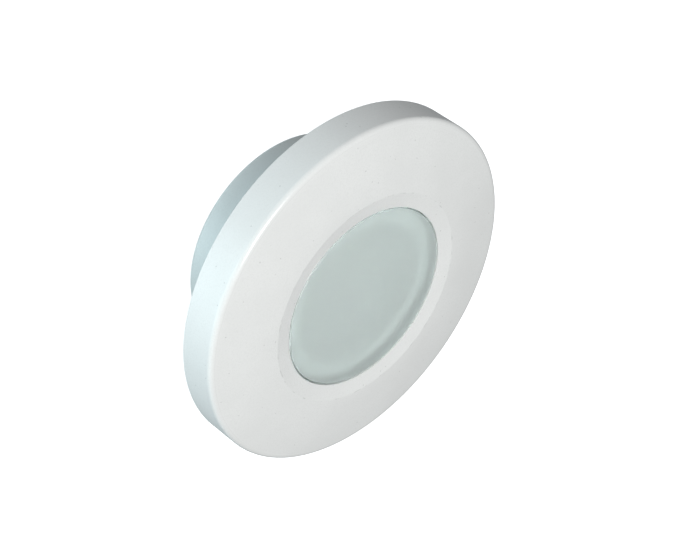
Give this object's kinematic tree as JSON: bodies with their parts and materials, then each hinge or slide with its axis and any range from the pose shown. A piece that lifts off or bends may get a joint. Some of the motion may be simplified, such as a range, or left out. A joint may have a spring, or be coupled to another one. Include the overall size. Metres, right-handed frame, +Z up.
{
  "type": "underwater pool light",
  "caption": "Round underwater pool light for a hole in the pool wall: white push-on trim ring, flat frosted glass, sealed drum with LEDs and driver, cable gland at the back.",
  "frame": {"origin": "centre of the wall hole, on the wet face of the pool wall, where the wall gasket's back face lies", "axes": "+Y into the wall along the lamp's axis, the light shines along -Y, +Z up with the pry notch of the trim ring at the bottom"},
  "size_m": [0.15, 0.0618, 0.15],
  "materials": {
    "white_plastic": "white ABS with a fine grain",
    "frosted_glass": "toughened glass, etched at the front, faintly green",
    "grey_rubber": "matte grey rubber",
    "white_silicone": "matte white silicone",
    "stainless_steel": "satin",
    "aluminium": "turned",
    "reflector_white": "white, half gloss",
    "board_white": "white solder mask",
    "board_green": "green solder mask",
    "led_phosphor": "clear dome over yellow phosphor",
    "thermal_grey": "soft grey pad",
    "black_plastic": "black moulding",
    "copper_wire": "enamelled copper winding",
    "green_plastic": "green moulding",
    "red_insulation": "red wire insulation"
  },
  "bodies": {
    "housing": {"housing": "white_plastic", "gland_body": "white_plastic", "window_glass": "frosted_glass", "wall_gasket": "grey_rubber", "grip_ring": "grey_rubber", "gland_washer": "grey_rubber", "gland_seal": "grey_rubber", "window_cushion": "white_silicone", "window_seal": "white_silicone", "clamp_ring": "stainless_steel", "clamp_screw_1": "stainless_steel", "clamp_screw_2": "stainless_steel", "clamp_screw_3": "stainless_steel", "clamp_screw_4": "stainless_steel", "clamp_screw_5": "stainless_steel", "clamp_screw_6": "stainless_steel", "board_screw_1": "stainless_steel", "board_screw_2": "stainless_steel", "board_screw_3": "stainless_steel", "heat_sink_screw_1": "stainless_steel", "heat_sink_screw_2": "stainless_steel", "heat_sink_screw_3": "stainless_steel", "driver_screw_1": "stainless_steel", "driver_screw_2": "stainless_steel", "driver_screw_3": "stainless_steel", "driver_spacer_1": "stainless_steel", "driver_spacer_2": "stainless_steel", "driver_spacer_3": "stainless_steel", "heat_sink": "aluminium", "reflector": "reflector_white", "led_board": "board_white", "driver_board": "board_green", "led_1": "led_phosphor", "led_2": "led_phosphor", "led_3": "led_phosphor", "led_4": "led_phosphor", "led_5": "led_phosphor", "led_6": "led_phosphor", "led_7": "led_phosphor", "led_8": "led_phosphor", "led_9": "led_phosphor", "thermal_pad": "thermal_grey", "capacitor": "black_plastic", "rectifier": "black_plastic", "led_lead_negative": "black_plastic", "inductor": "copper_wire", "terminal_block": "green_plastic", "led_lead_positive": "red_insulation"},
    "trim": {"trim_ring": "white_plastic"},
    "gland_pusher": {"gland_clamp": "white_plastic"},
    "nut": {"gland_nut": "white_plastic"}
  },
  "joints": [
    {"name": "trim_pull", "type": "slide", "parent": "housing", "child": "trim", "axis": [0, -1, 0], "range_m": [0, 0.02]},
    {"name": "gland_travel", "type": "slide", "parent": "housing", "child": "gland_pusher", "axis": [0, 1, 0], "range_m": [0, 0.0045]},
    {"name": "gland_nut_turn", "type": "hinge", "parent": "gland_pusher", "child": "nut", "pos_m": [0, 0.0313, 0], "axis": [0, 1, 0], "range_deg": [0, 1080]}
  ],
  "couplings": [
    {"joint": "gland_travel", "follows": "gland_nut_turn", "m_per_rad": 0.00023873}
  ]
}
